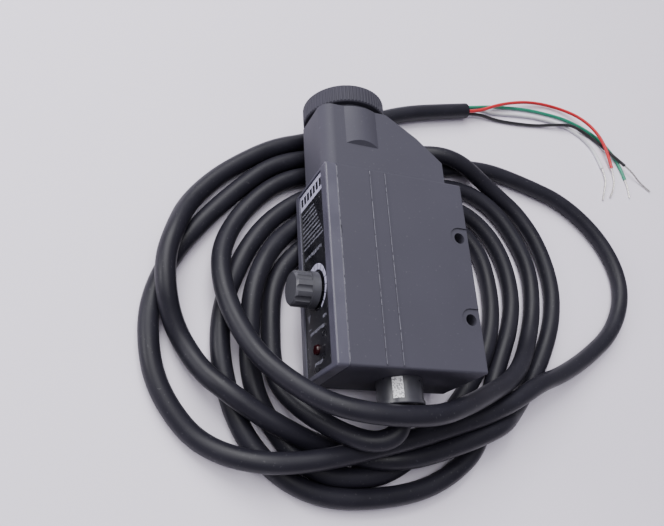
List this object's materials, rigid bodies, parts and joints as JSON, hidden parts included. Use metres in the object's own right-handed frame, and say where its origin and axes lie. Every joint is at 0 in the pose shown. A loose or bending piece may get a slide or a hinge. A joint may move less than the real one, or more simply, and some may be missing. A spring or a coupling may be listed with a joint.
{
  "type": "photoelectric sensor with cable",
  "caption": "Rectangular photoelectric mark sensor with a knurled focusing lens cap, sensitivity dial, indicator lamp, cable gland and a coiled cable with bare-ended wires.",
  "frame": {"origin": "midway between the two mounting holes, on the flat underside of the housing", "axes": "+Z from the underside up to the broad face, +Y toward the lens, +X from the dial face to the back edge"},
  "size_m": [0.2587, 0.1956, 0.0382],
  "materials": {
    "grey_abs": "satin",
    "bezel_grey": "satin",
    "gasket_rubber": "matte",
    "label_film": "semi-gloss",
    "red_pipe": "gloss",
    "knob_grey": "satin",
    "steel": "satin",
    "pot_case": "satin",
    "led_clear": "gloss",
    "lens_glass": "polished",
    "black_plastic": "matte",
    "seal_rubber": "matte",
    "black_aluminium": "anodised",
    "circuit_board": "satin",
    "chip_black": "matte",
    "can_aluminium": "satin",
    "ceramic": "matte",
    "gold_pin": "satin",
    "cord_black": "satin",
    "paper_tag": "matte",
    "wire_red": "satin",
    "wire_green": "satin",
    "wire_white": "satin",
    "wire_black": "satin",
    "tinned_copper": "satin"
  },
  "bodies": {
    "housing": {"housing_shell": "grey_abs", "front_bezel": "bezel_grey", "bezel_gasket": "gasket_rubber", "label_plate": "label_film", "indicator_window": "red_pipe", "indicator_led": "led_clear", "pot_body": "pot_case", "shaft_seal": "seal_rubber", "lens_tube": "black_aluminium", "condenser_lens": "lens_glass", "aperture_plate": "black_aluminium", "optics_block": "black_plastic", "beam_splitter": "lens_glass", "emitter_holder": "black_plastic", "emitter_led": "led_clear", "photodiode": "can_aluminium", "main_board": "circuit_board", "board_spacers": "black_plastic", "board_screws": "steel", "board_chips": "chip_black", "board_capacitors": "can_aluminium", "board_resistors": "ceramic", "output_transistor": "chip_black", "wire_header": "gold_pin", "inner_leads": "wire_white", "cable_gland": "black_plastic", "gland_seal": "seal_rubber", "gland_nut": "steel", "jacket_inner_end": "cord_black", "gland_sticker": "paper_tag", "cord_lead_in": "cord_black", "cord_coil": "cord_black", "cord_tail": "cord_black", "red_wire": "wire_red", "green_wire": "wire_green", "white_wire": "wire_white", "black_wire": "wire_black", "red_core": "tinned_copper", "green_core": "tinned_copper", "white_core": "tinned_copper", "black_core": "tinned_copper"},
    "knob": {"sensitivity_knob": "knob_grey", "pot_shaft": "steel"},
    "lens_cell": {"lens_cell": "black_aluminium", "front_lens": "lens_glass", "lens_seal": "seal_rubber"},
    "lens_cap": {"lens_cap": "black_aluminium"}
  },
  "joints": [
    {"name": "knob_turn", "type": "hinge", "parent": "housing", "child": "knob", "pos_m": [-0.0514, -0.0047, 0.0144], "axis": [-1, 0, 0], "range_deg": [-140, 140]},
    {"name": "focus_slide", "type": "slide", "parent": "housing", "child": "lens_cell", "axis": [0, 1, 0], "range_m": [0, 0.002]},
    {"name": "cap_turn", "type": "hinge", "parent": "lens_cell", "child": "lens_cap", "pos_m": [-0.0358, 0.0692, 0.0144], "axis": [0, 1, 0], "range_deg": [0, 720]}
  ],
  "couplings": [
    {"joint": "focus_slide", "follows": "cap_turn", "m_per_rad": 0.00015915}
  ]
}
